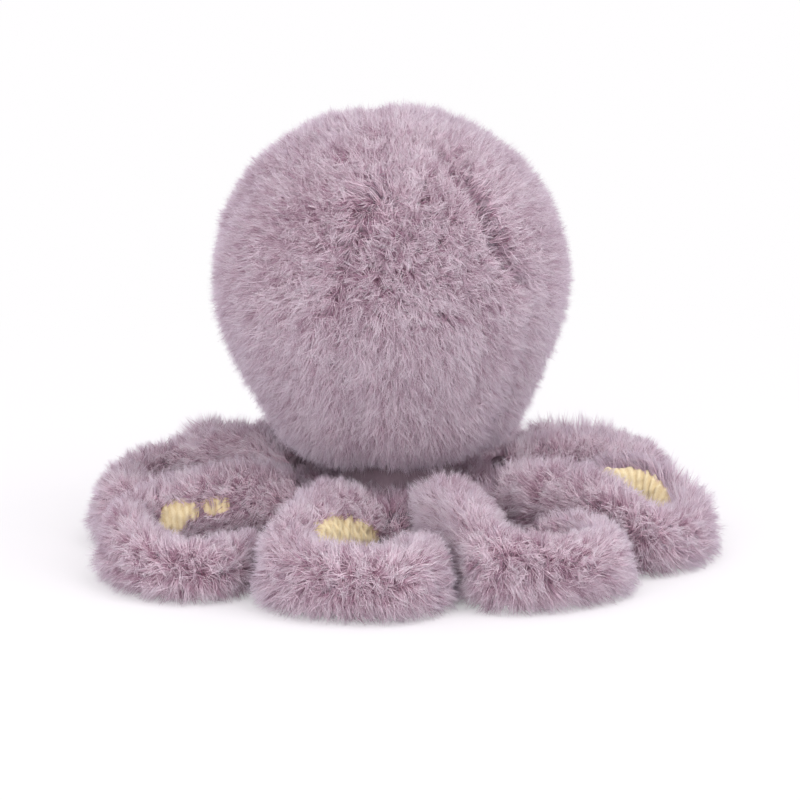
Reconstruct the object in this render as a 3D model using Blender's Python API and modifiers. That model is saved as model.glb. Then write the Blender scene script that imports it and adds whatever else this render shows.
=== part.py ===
"""A small plush octopus: a balloon head on a low body, ringed by eight curled arms.

The origin is the middle of the flat underside, +Z is up and the face looks along -Y.
Lengths are metres and angles are radians.
"""

import math

import bmesh
import bpy
from mathutils import Euler, Vector

MM = 0.001
TURN = 2 * math.pi

# Clearances
CLEARANCE = 0.3 * MM
FLOOR_CUT = 0.5 * MM
CUTTER_OVERRUN = 2 * MM

# Body: a low eight-sided bag that the arms are sewn round
ARM_COUNT = 8
BODY_REACH = 36 * MM
BODY_HEIGHT = 22 * MM
BODY_WALL = 3 * MM
UNDERSIDE_THICKNESS = 1.5 * MM
POUCH_RADIUS = 20 * MM
POUCH_HEIGHT = 10 * MM

# Head: an upside-down egg on a round neck that turns in a hollow of the body
HEAD_RADIUS = 51.5 * MM
HEAD_TOP = 129 * MM
HEAD_UNDERSIDE = 28.5 * MM
HEAD_PILE = 7 * MM
HEAD_LEAN = math.radians(3)
HEAD_SIDES = 30
PANEL_COUNT = 5
NECK_RADIUS = 12 * MM
NECK_PIVOT = 28 * MM
NECK_SIDES = 20
# The head's outline from the crown down: share of its radius, share of its height
HEAD_OUTLINE_SHARES = (
    (0.0, 1.0),
    (0.3, 0.977),
    (0.55, 0.92),
    (0.74, 0.845),
    (0.88, 0.745),
    (0.965, 0.635),
    (1.0, 0.51),
    (0.965, 0.4),
    (0.89, 0.295),
    (0.785, 0.18),
    (0.665, 0.07),
    (0.5, 0.0),
)

# Eyes: domed buttons on stems, held by washers inside the head
EYE_RADIUS = 4 * MM
EYE_HEIGHT = 4 * MM
EYE_FLANGE = 0.8 * MM
EYE_STEM_RADIUS = 1.5 * MM
EYE_STEM_LENGTH = 9 * MM
EYE_PROUD = 0.6 * MM
EYE_SPREAD = math.radians(20)
EYE_SIDES = 16
EYE_HEIGHT_SHARE = 0.33
WASHER_RADIUS = 4.5 * MM
WASHER_THICKNESS = 1.2 * MM
WASHER_SEAT = 0.9 * MM

# Arms: tapering rolls, each curled into a ring that lies on the floor
ARM_REACH = 52.5 * MM
ARM_SWEEP = 58 * MM
ARM_WIDTH = 19 * MM
ARM_HEIGHT = 25 * MM
ARM_PILE = 4 * MM
ARM_PILE_SHARE = 0.45
ARM_SIDE_GAP = 0.9 * MM
STRIP_THICKNESS = 1.5 * MM
STRIP_FACING = math.radians(165)
STRIP_HALF_ANGLE = math.radians(38)
TIP_CLOSED_ANGLE = math.radians(3)
TIP_CORE_SHARE = 0.12
ARM_RINGS = 14
ARM_OUTER_POINTS = 12
ARM_INNER_POINTS = 8
STRIP_POINTS = 4
STUFFING_SIDES = 6
# The strip and the stuffing end this share of the way along the arm
STRIP_END_SHARE = 0.9
# The arms leave the body at this angle from its back seam, and all drift round as they go out
ARM_TURN = math.radians(-3)
ARM_DRIFT = math.radians(9)
ARM_DRIFT_REACH = 25 * MM
# The arm's curl from root to tip: shares of its reach, sweep, width and height
ARM_CURL_SHARES = (
    (0.0, -0.01, 1.4, 1.12),
    (0.12, -0.065, 1.34, 1.2),
    (0.27, -0.145, 1.24, 1.22),
    (0.44, -0.225, 1.13, 1.15),
    (0.6, -0.265, 1.05, 1.05),
    (0.745, -0.225, 1.0, 0.96),
    (0.825, -0.08, 1.0, 0.91),
    (0.835, 0.1, 1.0, 0.88),
    (0.79, 0.265, 1.0, 0.87),
    (0.66, 0.35, 0.96, 0.88),
    (0.51, 0.335, 0.88, 0.86),
    (0.395, 0.25, 0.75, 0.78),
    (0.335, 0.145, 0.52, 0.62),
    (0.325, 0.07, 0.2, 0.3),
)
# Each arm: its name, its shares of the common height and reach, how far its returning wall is
# raised, and how far the line between it and the next arm is turned towards that one
ARMS = (
    ("arm_back", 0.98, 1.0, 0.0, math.radians(3)),
    ("arm_back_right", 0.98, 0.98, 1 * MM, 0.0),
    ("arm_right", 1.0, 1.02, 8 * MM, 0.0),
    ("arm_front_right", 1.02, 1.0, 2 * MM, 0.0),
    ("arm_front", 0.97, 1.0, 0.0, 0.0),
    ("arm_front_left", 0.98, 1.0, 8 * MM, 0.0),
    ("arm_left", 1.02, 0.97, 3 * MM, 0.0),
    ("arm_back_left", 0.98, 1.12, 0.0, 0.0),
)

FUR = ("lilac_fur", (0.38, 0.25, 0.36), 0.95)
CORD = ("yellow_cord", (0.83, 0.66, 0.30), 0.85)
FILL = ("polyester_fill", (0.86, 0.86, 0.84), 0.95)
POUCH = ("pouch_cloth", (0.75, 0.73, 0.68), 0.9)
EYE = ("eye_black", (0.012, 0.011, 0.012), 0.12)
WASHER = ("washer_white", (0.8, 0.8, 0.78), 0.45)

# Places worked out from the sizes above
SECTOR = TURN / ARM_COUNT
ROOT_REACH = BODY_REACH + CLEARANCE
CAVITY_REACH = BODY_REACH - BODY_WALL
CORE_REACH = CAVITY_REACH - CLEARANCE
STUFFING_BASE = UNDERSIDE_THICKNESS + CLEARANCE
STUFFING_TOP = BODY_HEIGHT - BODY_WALL - CLEARANCE
HEAD_HEIGHT = HEAD_TOP - HEAD_UNDERSIDE


def heading(angle):
    """A level direction, at an angle from +X towards +Y."""
    return Vector((math.cos(angle), math.sin(angle), 0))


def clear_scene():
    """Empty the file, so that it holds only this object."""
    for old in list(bpy.data.objects):
        bpy.data.objects.remove(old, do_unlink=True)


def make_collection(name):
    """Add a collection to the scene."""
    collection = bpy.data.collections.new(name)
    bpy.context.scene.collection.children.link(collection)
    return collection


def make_material(name, finish):
    """A material of one piece, from its finish's colour and roughness."""
    material = bpy.data.materials.new(f"{name}_{finish[0]}")
    material.use_nodes = True
    shader = material.node_tree.nodes["Principled BSDF"]
    shader.inputs["Base Color"].default_value = (*finish[1], 1)
    shader.inputs["Roughness"].default_value = finish[2]
    shader.inputs["Metallic"].default_value = 0
    return material


def add_piece(name, mesh, finish, parent=None):
    """Put a mesh in the model as a named piece with its own material."""
    piece = bpy.data.objects.new(name, mesh)
    mesh.materials.append(make_material(name, finish))
    model.objects.link(piece)
    piece.parent = parent
    return piece


def add_cutter(name, mesh, parent=None):
    """Put a mesh among the cutters, which are not part of the model."""
    cutter = bpy.data.objects.new(name, mesh)
    cutters.objects.link(cutter)
    cutter.parent = parent
    cutter.hide_render = True
    cutter.display_type = "WIRE"
    return cutter


def add_pivot(name, place, rotation):
    """An empty on a joint's axis, which carries the pieces that move about it."""
    pivot = bpy.data.objects.new(name, None)
    pivot.location = place
    pivot.rotation_euler = rotation
    model.objects.link(pivot)
    return pivot


def cut(piece, cutter, operation="DIFFERENCE"):
    """Cut a piece by a closed mesh."""
    boolean = piece.modifiers.new(cutter.name, "BOOLEAN")
    boolean.operation = operation
    boolean.solver = "EXACT"
    boolean.object = cutter


def finish_mesh(work, name, smooth=True):
    """Turn a working mesh into mesh data with its faces pointing out."""
    bmesh.ops.recalc_face_normals(work, faces=work.faces)
    mesh = bpy.data.meshes.new(name)
    work.to_mesh(mesh)
    work.free()
    if smooth:
        mesh.shade_smooth()
        mesh.set_sharp_from_angle(angle=math.radians(50))
    return mesh


def outline_mesh(name, outline):
    """A profile in the XZ plane as a chain of edges, ready to be turned."""
    mesh = bpy.data.meshes.new(name)
    edges = [(i, i + 1) for i in range(len(outline) - 1)]
    mesh.from_pydata([(x, 0, z) for x, z in outline], edges, [])
    return mesh


def turn(piece, sides):
    """Turn a piece's profile about its Z axis."""
    screw = piece.modifiers.new("turn", "SCREW")
    screw.steps = sides
    screw.render_steps = sides
    screw.use_merge_vertices = True
    screw.merge_threshold = CLEARANCE / 10
    screw.use_smooth_shade = True


def drum_mesh(name, radius, low, high, sides, flat_faced=False):
    """An upright drum; a flat-faced one has its radius measured to its side faces."""
    half_side = math.pi / sides
    work = bmesh.new()
    corner = radius / math.cos(half_side) if flat_faced else radius
    bmesh.ops.create_cone(
        work, cap_ends=True, segments=sides, radius1=corner, radius2=corner, depth=high - low
    )
    if flat_faced:
        turned = Euler((0, 0, half_side + ARM_TURN)).to_matrix()
        bmesh.ops.rotate(work, verts=work.verts, matrix=turned)
    bmesh.ops.translate(work, verts=work.verts, vec=(0, 0, (low + high) / 2))
    return finish_mesh(work, name, smooth=not flat_faced)


def ball_mesh(name, radius, height):
    """A ball centred at a height."""
    work = bmesh.new()
    bmesh.ops.create_uvsphere(
        work, u_segments=NECK_SIDES, v_segments=NECK_SIDES // 2, radius=radius
    )
    bmesh.ops.translate(work, verts=work.verts, vec=(0, 0, height))
    return finish_mesh(work, name)


def loft_mesh(name, rings):
    """A closed skin through rings of the same number of points, capped at both ends."""
    work = bmesh.new()
    rows = [[work.verts.new(point) for point in ring] for ring in rings]
    count = len(rings[0])
    for low, high in zip(rows, rows[1:]):
        for i in range(count):
            j = (i + 1) % count
            work.faces.new((low[i], low[j], high[j], high[i]))
    caps = [work.faces.new(rows[0][::-1]), work.faces.new(rows[-1])]
    bmesh.ops.triangulate(work, faces=caps)
    return finish_mesh(work, name)


def smooth_rows(rows, count):
    """Read a number of even steps along a smooth curve through rows of numbers."""
    last = len(rows) - 1
    result = []
    for step in range(count):
        place = step * last / (count - 1)
        index = min(int(place), last - 1)
        t = place - index
        a = rows[max(index - 1, 0)]
        b = rows[index]
        c = rows[index + 1]
        d = rows[min(index + 2, last)]
        result.append(
            tuple(
                (2 * q + (r - p) * t + (2 * p - 5 * q + 4 * r - s) * t * t
                 + (3 * q - p - 3 * r + s) * t ** 3) / 2
                for p, q, r, s in zip(a, b, c, d)
            )
        )
    return result


def head_outline(inset=0.0):
    """The head's outline from the crown down, drawn in by the depth of its pile."""
    points = [
        Vector((x * HEAD_RADIUS, HEAD_UNDERSIDE + z * HEAD_HEIGHT)) for x, z in HEAD_OUTLINE_SHARES
    ]
    drawn_in = [points[0] - Vector((0, inset))]
    for before, point, after in zip(points, points[1:], points[2:]):
        along = (after - before).normalized()
        drawn_in.append(point + inset * Vector((along.y, -along.x)))
    base = points[-1]
    drawn_in.append(Vector((base.x - inset / 2, base.y + inset / 2)) if inset else base)
    return [(p.x, p.y - NECK_PIVOT) for p in drawn_in]


def head_surface(height_share):
    """A place on the head's outline and the way it faces, in the head's own plane."""
    outline = head_outline()
    level = HEAD_UNDERSIDE + height_share * HEAD_HEIGHT - NECK_PIVOT
    for high, low in zip(outline, outline[1:]):
        if low[1] <= level <= high[1]:
            share = (level - low[1]) / (high[1] - low[1])
            along = (Vector(low) - Vector(high)).normalized()
            return Vector(low).lerp(Vector(high), share), Vector((-along.y, along.x))
    raise ValueError("the height is not on the head")


def make_head(pivot):
    """Five fur panels sewn into an egg, round a stuffed core with a rounded neck."""
    outer = head_outline()
    inner = head_outline(HEAD_PILE)
    shell = outer + inner[::-1]
    panel_turn = TURN / PANEL_COUNT
    names = ("back_right", "right", "front", "left", "back_left")
    panels = []
    for index, side in enumerate(names):
        name = f"head_panel_{side}"
        panel = add_piece(name, outline_mesh(name, shell), FUR, pivot)
        turn(panel, HEAD_SIDES)
        middle = TURN / 4 + (index + 0.5) * panel_turn
        cut(panel, make_panel_wedge(side, middle, panel_turn / 2, pivot), "INTERSECT")
        panels.append(panel)

    core = [(0.0, inner[0][1] - CLEARANCE)]
    core += [(x - CLEARANCE, z - CLEARANCE) for x, z in inner[1:-1]]
    neck_share = math.sqrt(0.5)
    core += [
        (NECK_RADIUS, CLEARANCE),
        (NECK_RADIUS * neck_share, -NECK_RADIUS * neck_share),
        (0.0, -NECK_RADIUS),
    ]
    stuffing = add_piece("head_stuffing", outline_mesh("head_stuffing", core), FILL, pivot)
    turn(stuffing, HEAD_SIDES)
    return panels[2], stuffing


def make_panel_wedge(side, middle, half_turn, pivot):
    """A tall wedge that holds one head panel, drawn back from the seams by half the clearance."""
    reach = 3 * HEAD_RADIUS
    apex = heading(middle) * CLEARANCE / 2 / math.sin(half_turn)
    corners = (
        apex,
        apex + heading(middle - half_turn) * reach,
        apex + heading(middle + half_turn) * reach,
    )
    curve = bpy.data.curves.new(f"wedge_{side}", "CURVE")
    curve.dimensions = "2D"
    curve.fill_mode = "BOTH"
    curve.extrude = HEAD_TOP
    line = curve.splines.new("POLY")
    line.points.add(len(corners) - 1)
    line.use_cyclic_u = True
    for point, corner in zip(line.points, corners):
        point.co = (*corner, 1)
    drawn = bpy.data.objects.new(f"wedge_{side}_outline", curve)
    bpy.context.scene.collection.objects.link(drawn)
    graph = bpy.context.evaluated_depsgraph_get()
    mesh = bpy.data.meshes.new_from_object(drawn.evaluated_get(graph))
    bpy.data.objects.remove(drawn)
    work = bmesh.new()
    work.from_mesh(mesh)
    bmesh.ops.remove_doubles(work, verts=work.verts, dist=CLEARANCE / 10)
    return add_cutter(f"wedge_{side}", finish_mesh(work, f"wedge_{side}", smooth=False), pivot)


def make_eyes(front_panel, stuffing, pivot):
    """Two domed eyes whose stems pass through the front panel into washers."""
    place, facing = head_surface(EYE_HEIGHT_SHARE)
    dome_steps = 5
    dome = [
        (EYE_RADIUS * math.sin(i * TURN / 4 / dome_steps),
         EYE_PROUD + (EYE_HEIGHT - EYE_FLANGE) * (math.cos(i * TURN / 4 / dome_steps) - 1))
        for i in range(dome_steps + 1)
    ]
    base = EYE_PROUD - EYE_HEIGHT
    stem_end = base - EYE_STEM_LENGTH
    profile = dome + [
        (EYE_RADIUS, base),
        (EYE_STEM_RADIUS, base),
        (EYE_STEM_RADIUS, stem_end),
        (0.0, stem_end),
    ]
    washer_top = -HEAD_PILE - WASHER_SEAT
    washer_low = washer_top - WASHER_THICKNESS
    washer_bore = EYE_STEM_RADIUS + CLEARANCE
    washer = [
        (WASHER_RADIUS, washer_top),
        (WASHER_RADIUS, washer_low),
        (washer_bore, washer_low),
        (washer_bore, washer_top),
        (WASHER_RADIUS, washer_top),
    ]
    for side, sign in (("right", -1), ("left", 1)):
        angle = -TURN / 4 + sign * EYE_SPREAD
        level = heading(angle)
        direction = level * facing.x + Vector((0, 0, facing.y))
        rotation = direction.to_track_quat("Z", "Y").to_euler()
        spot = level * place.x + Vector((0, 0, place.y))
        eye = add_piece(f"eye_{side}", outline_mesh(f"eye_{side}", profile), EYE, pivot)
        ring = add_piece(
            f"eye_washer_{side}", outline_mesh(f"eye_washer_{side}", washer), WASHER, pivot
        )
        socket = add_cutter(
            f"eye_socket_{side}",
            drum_mesh("socket", EYE_RADIUS + CLEARANCE, base - CLEARANCE, EYE_HEIGHT, EYE_SIDES),
            pivot,
        )
        stem_hole = add_cutter(
            f"stem_hole_{side}",
            drum_mesh("stem_hole", EYE_STEM_RADIUS + CLEARANCE, stem_end, EYE_HEIGHT, EYE_SIDES),
            pivot,
        )
        pocket = add_cutter(
            f"washer_pocket_{side}",
            drum_mesh(
                "washer_pocket", WASHER_RADIUS + CLEARANCE, stem_end - CLEARANCE, EYE_HEIGHT, EYE_SIDES
            ),
            pivot,
        )
        for item in (eye, ring, socket, stem_hole, pocket):
            item.location = spot
            item.rotation_euler = rotation
        turn(eye, EYE_SIDES)
        turn(ring, EYE_SIDES)
        cut(front_panel, socket)
        cut(front_panel, stem_hole)
        cut(stuffing, pocket)


def make_body():
    """The low body: a fur cover, its stuffing, a pouch of pellets and a cord underside."""
    socket = add_cutter(
        "neck_hollow", ball_mesh("neck_hollow", NECK_RADIUS + 2 * CLEARANCE, NECK_PIVOT)
    )
    cavity = add_cutter(
        "body_cavity",
        drum_mesh(
            "body_cavity", CAVITY_REACH, -CUTTER_OVERRUN, BODY_HEIGHT - BODY_WALL, ARM_COUNT, True
        ),
    )
    cover = add_piece(
        "body_cover", drum_mesh("body_cover", BODY_REACH, 0, BODY_HEIGHT, ARM_COUNT, True), FUR
    )
    cut(cover, cavity)
    cut(cover, socket)

    underside = drum_mesh(
        "body_underside", CORE_REACH, 0, UNDERSIDE_THICKNESS, ARM_COUNT, True
    )
    add_piece("body_underside", underside, CORD)

    stuffing = add_piece(
        "body_stuffing",
        drum_mesh("body_stuffing", CORE_REACH, STUFFING_BASE, STUFFING_TOP, ARM_COUNT, True),
        FILL,
    )
    pouch_room = add_cutter(
        "pouch_room",
        drum_mesh(
            "pouch_room",
            POUCH_RADIUS + CLEARANCE,
            STUFFING_BASE - CUTTER_OVERRUN,
            STUFFING_BASE + POUCH_HEIGHT + CLEARANCE,
            NECK_SIDES,
        ),
    )
    cut(stuffing, pouch_room)
    cut(stuffing, socket)

    shoulder = POUCH_HEIGHT / 4
    pouch = [
        (0.0, POUCH_HEIGHT),
        (POUCH_RADIUS - 2 * shoulder, POUCH_HEIGHT),
        (POUCH_RADIUS - shoulder, POUCH_HEIGHT - shoulder),
        (POUCH_RADIUS - CLEARANCE, POUCH_HEIGHT / 2),
        (POUCH_RADIUS - shoulder, shoulder / 2),
        (POUCH_RADIUS - 2 * shoulder, 0.0),
        (0.0, 0.0),
    ]
    pouch_piece = add_piece("pellet_pouch", outline_mesh("pellet_pouch", pouch), POUCH)
    pouch_piece.location.z = STUFFING_BASE
    turn(pouch_piece, NECK_SIDES)


def ellipse_point(station, angle, inset):
    """A point of an arm's section, from the outside of the curl at zero, over the top."""
    place, outward, half_width, half_height = station
    return (
        place
        + outward * (half_width - inset) * math.cos(angle)
        + Vector((0, 0, (half_height - inset) * math.sin(angle)))
    )


def place_in_ring(point, bounds):
    """Press a point onto the floor and between the arm's bounds, then let it drift round."""
    out = ROOT_REACH + point.x
    low, high = (out * math.tan(bound) for bound in bounds)
    across = max(low + ARM_SIDE_GAP, min(high - ARM_SIDE_GAP, point.y))
    gone = max(0, min(1, (math.hypot(out, across) - ROOT_REACH) / ARM_DRIFT_REACH))
    drift = ARM_DRIFT * gone * gone * (3 - 2 * gone)
    turned_out = out * math.cos(drift) - across * math.sin(drift)
    turned_across = out * math.sin(drift) + across * math.cos(drift)
    return Vector((turned_out - ROOT_REACH, turned_across, max(point.z, -BODY_HEIGHT)))


def arm_stations(height_share, reach_share, raised):
    """Where each ring of an arm stands: place, outward direction and half sizes."""
    rows = smooth_rows(ARM_CURL_SHARES, ARM_RINGS)
    flat = [Vector((u * ARM_REACH * reach_share, v * ARM_SWEEP, 0)) for u, v, _, _ in rows]
    stations = []
    for index, (_, _, wide, tall) in enumerate(rows):
        before = flat[max(index - 1, 0)]
        after = flat[min(index + 1, len(flat) - 1)]
        along = (after - before).normalized()
        if index == 0:
            along = Vector((1, 0, 0))
        half_height = tall * height_share * ARM_HEIGHT / 2
        travelled = index / (len(rows) - 1)
        lift = raised * (1 - math.cos(math.pi * max(0, 2 * travelled - 1))) / 2
        level = half_height - FLOOR_CUT - BODY_HEIGHT + lift
        place = flat[index] + Vector((0, 0, level))
        stations.append((place, Vector((along.y, -along.x, 0)), wide * ARM_WIDTH / 2, half_height))
    return stations


def spread(first, last, count):
    """Even steps from one value to another."""
    return [first + (last - first) * i / (count - 1) for i in range(count)]


def make_arm(index, bounds, name, height_share, reach_share, raised):
    """One arm: a fur sleeve closed by a strip of cord, round its stuffing."""
    turned = TURN / 4 + ARM_TURN + index * SECTOR
    hinge = heading(turned) * ROOT_REACH
    hinge.z = BODY_HEIGHT
    pivot = add_pivot(f"{name}_pivot", hinge, (0, 0, turned))

    stations = arm_stations(height_share, reach_share, raised)
    ended = round(STRIP_END_SHARE * (len(stations) - 1))
    sleeve = []
    strip = []
    core = []
    for number, station in enumerate(stations):
        half_width = station[2]
        pile = min(ARM_PILE, ARM_PILE_SHARE * 2 * half_width)
        closed = number > ended
        gap_angle = TIP_CLOSED_ANGLE if closed else STRIP_HALF_ANGLE
        sleeve_inset = half_width * (1 - TIP_CORE_SHARE) if closed else pile
        first = STRIP_FACING + gap_angle
        last = STRIP_FACING + TURN - gap_angle
        outer = [ellipse_point(station, a, 0) for a in spread(first, last, ARM_OUTER_POINTS)]
        inner = [
            ellipse_point(station, a, sleeve_inset) for a in spread(last, first, ARM_INNER_POINTS)
        ]
        sleeve.append([place_in_ring(point, bounds) for point in outer + inner])
        if closed:
            continue
        seam = 2 * CLEARANCE / (station[3] - pile)
        low = STRIP_FACING + STRIP_HALF_ANGLE - seam
        high = STRIP_FACING - STRIP_HALF_ANGLE + seam
        face = [
            ellipse_point(station, a, pile - STRIP_THICKNESS)
            for a in spread(high, low, STRIP_POINTS)
        ]
        back = [ellipse_point(station, a, pile) for a in spread(low, high, STRIP_POINTS)]
        strip.append([place_in_ring(point, bounds) for point in face + back])
        facet = math.cos(math.pi / ARM_INNER_POINTS)
        slack = half_width - (half_width - pile) * facet + CLEARANCE
        section = [
            ellipse_point(station, a, slack)
            for a in spread(0, TURN - TURN / STUFFING_SIDES, STUFFING_SIDES)
        ]
        core.append([place_in_ring(point, bounds) for point in section])
    add_piece(f"{name}_fur", loft_mesh(f"{name}_fur", sleeve), FUR, pivot)
    add_piece(f"{name}_underside", loft_mesh(f"{name}_underside", strip[:-1]), CORD, pivot)
    add_piece(f"{name}_stuffing", loft_mesh(f"{name}_stuffing", core[:-1]), FILL, pivot)


def make_octopus():
    """Build every piece."""
    head_pivot = add_pivot("head_pivot", (0, 0, NECK_PIVOT), (0, HEAD_LEAN, 0))
    front_panel, stuffing = make_head(head_pivot)
    make_eyes(front_panel, stuffing, head_pivot)
    make_body()
    for index, (name, height_share, reach_share, raised, shift) in enumerate(ARMS):
        bounds = (ARMS[index - 1][-1] - SECTOR / 2, shift + SECTOR / 2)
        make_arm(index, bounds, name, height_share, reach_share, raised)


clear_scene()
model = make_collection("plush_octopus")
cutters = make_collection("cutters")
make_octopus()
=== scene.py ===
"""Looks of the plush octopus: long pile on its head and arms, ribbed cord inside the curls, glossy eyes.

Lengths are metres and angles are radians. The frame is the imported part's: +Z up, the face looks along -Y.
"""

import math

import bpy
import numpy as np
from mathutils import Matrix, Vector


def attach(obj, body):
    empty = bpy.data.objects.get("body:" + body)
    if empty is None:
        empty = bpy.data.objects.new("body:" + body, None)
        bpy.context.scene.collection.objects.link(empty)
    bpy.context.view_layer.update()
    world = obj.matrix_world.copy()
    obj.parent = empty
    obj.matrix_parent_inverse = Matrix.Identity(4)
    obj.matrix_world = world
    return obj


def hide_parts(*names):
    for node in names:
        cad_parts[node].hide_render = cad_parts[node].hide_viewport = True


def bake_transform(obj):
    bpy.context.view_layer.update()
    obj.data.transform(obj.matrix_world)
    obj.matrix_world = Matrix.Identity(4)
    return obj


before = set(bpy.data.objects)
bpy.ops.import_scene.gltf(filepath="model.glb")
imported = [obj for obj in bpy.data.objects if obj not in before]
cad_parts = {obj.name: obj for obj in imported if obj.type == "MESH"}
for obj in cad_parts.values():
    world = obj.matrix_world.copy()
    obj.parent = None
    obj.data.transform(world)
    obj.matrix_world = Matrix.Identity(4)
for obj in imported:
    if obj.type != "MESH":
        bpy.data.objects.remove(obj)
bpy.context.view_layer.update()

MM = 0.001
TURN = 2 * math.pi
UP = np.array((0.0, 0.0, 1.0))

# Sizes of the part, as its source gives them
CLEARANCE = 0.3 * MM
FLOOR_CUT = 0.5 * MM
ARM_COUNT = 8
BODY_REACH = 36 * MM
BODY_HEIGHT = 22 * MM
BODY_WALL = 3 * MM
UNDERSIDE_THICKNESS = 1.5 * MM
POUCH_RADIUS = 20 * MM
POUCH_HEIGHT = 10 * MM
HEAD_RADIUS = 51.5 * MM
HEAD_TOP = 129 * MM
HEAD_UNDERSIDE = 28.5 * MM
HEAD_PILE = 7 * MM
HEAD_LEAN = math.radians(3)
PANEL_COUNT = 5
NECK_RADIUS = 12 * MM
NECK_PIVOT = 28 * MM
HEAD_OUTLINE_SHARES = (
    (0.0, 1.0), (0.3, 0.977), (0.55, 0.92), (0.74, 0.845), (0.88, 0.745), (0.965, 0.635),
    (1.0, 0.51), (0.965, 0.4), (0.89, 0.295), (0.785, 0.18), (0.665, 0.07), (0.5, 0.0),
)
NECK_OUTLINE_SHARES = ((0.36, -0.012), (0.2, 0.0))
EYE_RADIUS = 4 * MM
EYE_HEIGHT = 4 * MM
EYE_PROUD = 0.6 * MM
EYE_SPREAD = math.radians(20)
EYE_HEIGHT_SHARE = 0.33
ARM_REACH = 52.5 * MM
ARM_SWEEP = 58 * MM
ARM_WIDTH = 19 * MM
ARM_HEIGHT = 25 * MM
ARM_PILE = 4 * MM
ARM_PILE_SHARE = 0.45
ARM_SIDE_GAP = 0.9 * MM
STRIP_END_SHARE = 0.9
ARM_TURN = math.radians(-3)
ARM_DRIFT = math.radians(9)
ARM_DRIFT_REACH = 25 * MM
ARM_CURL_SHARES = (
    (0.0, -0.01, 1.4, 1.12), (0.12, -0.065, 1.34, 1.2), (0.27, -0.145, 1.24, 1.22),
    (0.44, -0.225, 1.13, 1.15), (0.6, -0.265, 1.05, 1.05), (0.745, -0.225, 1.0, 0.96),
    (0.825, -0.08, 1.0, 0.91), (0.835, 0.1, 1.0, 0.88), (0.79, 0.265, 1.0, 0.87),
    (0.66, 0.35, 0.96, 0.88), (0.51, 0.335, 0.88, 0.86), (0.395, 0.25, 0.75, 0.78),
    (0.335, 0.145, 0.52, 0.62), (0.325, 0.07, 0.2, 0.3),
)
# Each arm: its name, shares of the common height and reach, how far its returning wall is raised,
# and how far the line between it and the next arm is turned towards that one
ARMS = (
    ("arm_back", 0.98, 1.0, 0.0, math.radians(3)),
    ("arm_back_right", 0.98, 0.98, 1 * MM, 0.0),
    ("arm_right", 1.0, 1.02, 8 * MM, 0.0),
    ("arm_front_right", 1.02, 1.0, 2 * MM, 0.0),
    ("arm_front", 0.97, 1.0, 0.0, 0.0),
    ("arm_front_left", 0.98, 1.0, 8 * MM, 0.0),
    ("arm_left", 1.02, 0.97, 3 * MM, 0.0),
    ("arm_back_left", 0.98, 1.12, 0.0, 0.0),
)
SECTOR = TURN / ARM_COUNT
ROOT_REACH = BODY_REACH + CLEARANCE
CORE_REACH = BODY_REACH - BODY_WALL - CLEARANCE
HEAD_HEIGHT = HEAD_TOP - HEAD_UNDERSIDE
PANEL_SIDES = ("back_right", "right", "front", "left", "back_left")

# Pile: strands as closed three-sided spikes, gathered in tufts; the first few of each tuft have a bend
STRAND_RADIUS = 0.13 * MM
STRAND_MIDDLE_SHARE = 0.8
STRANDS_PER_TUFT = 11
BENT_PER_TUFT = 3
TUFT_SPREAD = 0.55 * MM
HEAD_TUFT_SPREAD = 0.36 * MM
HEAD_STRANDS_PER_TUFT = 8
HEAD_TUFTS = 1.4
TUFT_DENSITY = 1.0 / MM ** 2
HEAD_STRAND = 8.2 * MM
ARM_STRAND = 6.9 * MM
BODY_STRAND = 6.2 * MM
BODY_TUFTS = 0.42
PILE_TONE = 0.86
# painted shade: the shoulders' pile is darker, for where it lies in shadow under the head
BODY_PAINTED_SHADE_TONE = 0.42
SHADE_WIDTH = 0.006
# These shares of the tufts and of the strands are darker by a step: painted shade for the gaps between
# tufts
SHADOWED_TUFT_SHARE = 0.25
SHADOWED_STRAND_SHARE = 0.14
PAINTED_SHADE_STEP = 0.62
TUFT_SHADE_SPREAD = 0.2
STRAND_SHADE_SPREAD = 0.14
SHADE_SWAY = 0.08
SHADE_RANGE = (0.02, 0.97)
TUFT_LENGTHS = (0.86, 1.06)
STRAND_LENGTHS = (0.5, 1.08)
# How far a tuft's way wanders, and a strand's from its tuft's
BROAD_WANDER, CLOSE_WANDER = 0.12, 0.2
STRAND_WANDER = 0.24
FAN_OUT = 0.12
BEND_SPREAD = 0.12 * MM
MIDDLE_GATHER = 0.4
# How much a strand's start follows its own way, against the ground's
OWN_WAY_SHARE = 0.45
NORMAL_ALONG = 0.45


def unit(vectors):
    """Vectors at length one."""
    return vectors / np.maximum(np.linalg.norm(vectors, axis=-1, keepdims=True), 1e-12)


def heading(angle):
    """A level direction, at an angle from +X towards +Y."""
    return np.array((math.cos(angle), math.sin(angle), 0.0))


def even_turns(count):
    """Angles spread evenly round a whole turn."""
    return np.linspace(0, TURN, count, endpoint=False)


def stacked(*parts):
    """Points from their coordinates."""
    return np.stack(np.broadcast_arrays(*parts), -1)


def level_ring(angles, out, height):
    """Points at some angles, distances out and heights."""
    return stacked(out * np.cos(angles), out * np.sin(angles), height)


def smooth_step(x):
    """From 0 to 1 with level ends."""
    x = np.clip(x, 0, 1)
    return x * x * (3 - 2 * x)


def hump(distance, width):
    """One at no distance, and nothing beyond about twice the width."""
    return np.exp(-((distance / width) ** 2))


def smooth_rows(rows, steps):
    """Read a smooth curve through rows of numbers, at places counted in rows."""
    rows = np.array(rows, float)
    last = len(rows) - 1
    index = np.clip(np.floor(steps).astype(int), 0, last - 1)
    t = (steps - index)[:, None]
    p, q = rows[np.maximum(index - 1, 0)], rows[index]
    r, s = rows[index + 1], rows[np.minimum(index + 2, last)]
    curve = 2 * q + (r - p) * t + (2 * p - 5 * q + 4 * r - s) * t ** 2 + (3 * q - p - 3 * r + s) * t ** 3
    return curve / 2


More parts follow.
